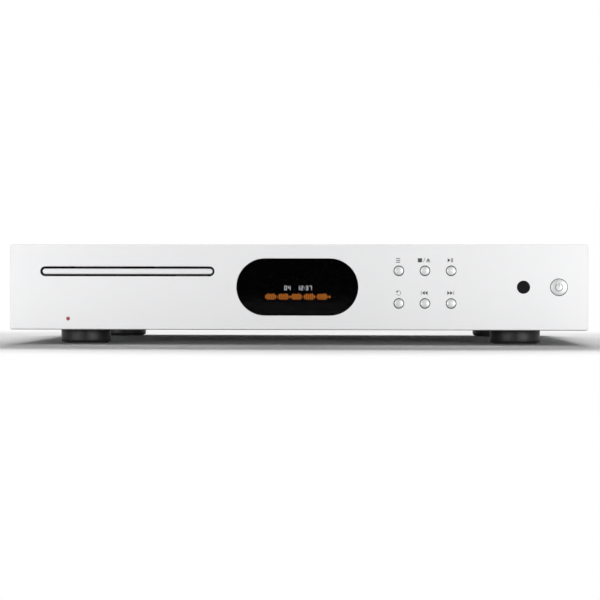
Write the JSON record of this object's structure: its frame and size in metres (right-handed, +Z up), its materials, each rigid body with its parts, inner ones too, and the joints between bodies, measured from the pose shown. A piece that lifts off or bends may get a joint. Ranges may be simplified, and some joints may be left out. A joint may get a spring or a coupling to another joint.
{
  "type": "disc player",
  "caption": "Full-width disc player with a thick satin front, slim disc tray, oval display window, turned buttons and round feet.",
  "frame": {"origin": "on the floor under the middle of the player", "axes": "+X to the right of someone facing the front, +Y to the back, +Z up"},
  "size_m": [0.444, 0.3084, 0.0773],
  "materials": {
    "satin_aluminium": "fine satin anodised",
    "silver_paint": "fine texture silver paint",
    "zinc_steel": "zinc plated, plain",
    "smoked_window": "polished smoked acrylic",
    "turned_metal": "fine turned",
    "infrared_black": "polished dark infrared filter",
    "lamp_red": "clear moulded, red lit",
    "foot_black": "semi-gloss moulding",
    "pad_rubber": "matte",
    "black_zinc": "black plated",
    "board_green": "solder mask",
    "component_black": "moulded",
    "can_sleeve": "printed sleeve, plain",
    "coil_tape": "wound polyester tape",
    "socket_black": "moulded",
    "gold_plate": "gold plated",
    "nickel_plate": "nickel plated",
    "loader_grey": "moulded",
    "tray_black": "fine textured moulding",
    "gear_white": "moulded acetal",
    "belt_rubber": "matte",
    "lens_metal": "die cast, plain"
  },
  "bodies": {
    "chassis": {"base_chassis": "zinc_steel", "front_subpanel": "zinc_steel", "rear_panel": "silver_paint", "top_cover": "silver_paint", "fascia": "satin_aluminium", "display_window": "smoked_window", "display_panel": "component_black", "front_board": "board_green", "button_switches": "component_black", "ir_window": "infrared_black", "ir_receiver": "component_black", "standby_led": "lamp_red", "foot_front_left": "foot_black", "foot_front_right": "foot_black", "foot_back_left": "foot_black", "foot_back_right": "foot_black", "foot_pads": "pad_rubber", "foot_screws": "nickel_plate", "cover_screws": "black_zinc", "rear_screws": "black_zinc", "toroidal_transformer": "coil_tape", "transformer_clamp": "zinc_steel", "supply_board": "board_green", "supply_capacitors": "can_sleeve", "main_board": "board_green", "main_board_chips": "component_black", "mains_inlet": "socket_black", "inlet_pins": "nickel_plate", "switch_housing": "socket_black", "coax_jack": "gold_plate", "optical_jack": "socket_black", "usb_socket": "nickel_plate", "trigger_jacks": "socket_black", "loader_frame": "loader_grey", "clamp_bridge": "zinc_steel", "loading_motor": "zinc_steel", "drive_belt": "belt_rubber"},
    "tray": {"disc_tray": "tray_black", "tray_lip": "satin_aluminium"},
    "drive_gear": {"drive_gear": "gear_white"},
    "pulley_gear": {"pulley_gear": "gear_white"},
    "motor_pulley": {"motor_pulley": "gear_white"},
    "cam_slider": {"cam_slider": "gear_white"},
    "traverse": {"traverse_frame": "loader_grey", "spindle_motor": "zinc_steel", "guide_rods": "nickel_plate", "feed_motor": "zinc_steel"},
    "turntable": {"turntable": "loader_grey"},
    "pickup": {"lens_sled": "lens_metal"},
    "feed_screw": {"feed_screw": "nickel_plate"},
    "clamp_puck": {"clamp_puck": "loader_grey"},
    "mains_rocker": {"mains_rocker": "socket_black"},
    "optical_shutter": {"optical_shutter": "socket_black"},
    "menu_button": {"menu_button": "turned_metal"},
    "stop_eject_button": {"stop_eject_button": "turned_metal"},
    "play_pause_button": {"play_pause_button": "turned_metal"},
    "repeat_button": {"repeat_button": "turned_metal"},
    "previous_button": {"previous_button": "turned_metal"},
    "next_button": {"next_button": "turned_metal"},
    "power_button": {"power_button": "turned_metal"}
  },
  "joints": [
    {"name": "tray_slide", "type": "slide", "parent": "chassis", "child": "tray", "axis": [0, -1, 0], "range_m": [0, 0.138]},
    {"name": "drive_gear_turn", "type": "hinge", "parent": "chassis", "child": "drive_gear", "pos_m": [-0.08435, -0.118, 0.05], "axis": [0, 0, 1], "range_deg": [-660, 0]},
    {"name": "pulley_gear_turn", "type": "hinge", "parent": "chassis", "child": "pulley_gear", "pos_m": [-0.08435, -0.0998, 0.05], "axis": [0, 0, 1], "range_deg": [0, 1320]},
    {"name": "motor_pulley_turn", "type": "hinge", "parent": "chassis", "child": "motor_pulley", "pos_m": [-0.08435, -0.062, 0.045], "axis": [0, 0, 1], "range_deg": [0, 4620]},
    {"name": "cam_slide", "type": "slide", "parent": "chassis", "child": "cam_slider", "axis": [-1, 0, 0], "range_m": [0, 0.0099]},
    {"name": "traverse_lift", "type": "hinge", "parent": "chassis", "child": "traverse", "pos_m": [-0.131, 0.011, 0.046], "axis": [-1, 0, 0], "range_deg": [0, 4.6]},
    {"name": "turntable_spin", "type": "hinge", "parent": "traverse", "child": "turntable", "pos_m": [-0.131, -0.08401, 0.04237], "axis": [0, -0.0802, 0.9968], "continuous": true},
    {"name": "sled_feed", "type": "slide", "parent": "traverse", "child": "pickup", "axis": [0, 0.9968, 0.0802], "range_m": [0, 0.034]},
    {"name": "feed_screw_turn", "type": "hinge", "parent": "traverse", "child": "feed_screw", "pos_m": [-0.1056, -0.08353, 0.03639], "axis": [0, 0.9968, 0.0802], "range_deg": [0, 4085]},
    {"name": "puck_spin", "type": "hinge", "parent": "chassis", "child": "clamp_puck", "pos_m": [-0.131, -0.084, 0.062], "axis": [0, 0, 1], "continuous": true},
    {"name": "rocker_tip", "type": "hinge", "parent": "chassis", "child": "mains_rocker", "pos_m": [0.122, 0.145, 0.045], "axis": [-1, 0, 0], "range_deg": [0, 16]},
    {"name": "shutter_swing", "type": "hinge", "parent": "chassis", "child": "optical_shutter", "pos_m": [0.052, 0.14515, 0.0354], "axis": [-1, 0, 0], "range_deg": [0, 80], "stiffness_Nm_per_rad": 0.0004},
    {"name": "menu_press", "type": "slide", "parent": "chassis", "child": "menu_button", "axis": [0, 1, 0], "range_m": [0, 0.0008], "stiffness_N_per_m": 300},
    {"name": "stop_eject_press", "type": "slide", "parent": "chassis", "child": "stop_eject_button", "axis": [0, 1, 0], "range_m": [0, 0.0008], "stiffness_N_per_m": 300},
    {"name": "play_pause_press", "type": "slide", "parent": "chassis", "child": "play_pause_button", "axis": [0, 1, 0], "range_m": [0, 0.0008], "stiffness_N_per_m": 300},
    {"name": "repeat_press", "type": "slide", "parent": "chassis", "child": "repeat_button", "axis": [0, 1, 0], "range_m": [0, 0.0008], "stiffness_N_per_m": 300},
    {"name": "previous_press", "type": "slide", "parent": "chassis", "child": "previous_button", "axis": [0, 1, 0], "range_m": [0, 0.0008], "stiffness_N_per_m": 300},
    {"name": "next_press", "type": "slide", "parent": "chassis", "child": "next_button", "axis": [0, 1, 0], "range_m": [0, 0.0008], "stiffness_N_per_m": 300},
    {"name": "power_press", "type": "slide", "parent": "chassis", "child": "power_button", "axis": [0, 1, 0], "range_m": [0, 0.0008], "stiffness_N_per_m": 300}
  ],
  "couplings": [
    {"joint": "drive_gear_turn", "follows": "tray_slide", "rad_per_m": -83.333},
    {"joint": "pulley_gear_turn", "follows": "tray_slide", "rad_per_m": 166.67},
    {"joint": "motor_pulley_turn", "follows": "tray_slide", "rad_per_m": 583.33},
    {"joint": "traverse_lift", "follows": "cam_slide", "rad_per_m": 8.1095},
    {"joint": "feed_screw_turn", "follows": "sled_feed", "rad_per_m": 2094.4}
  ]
}
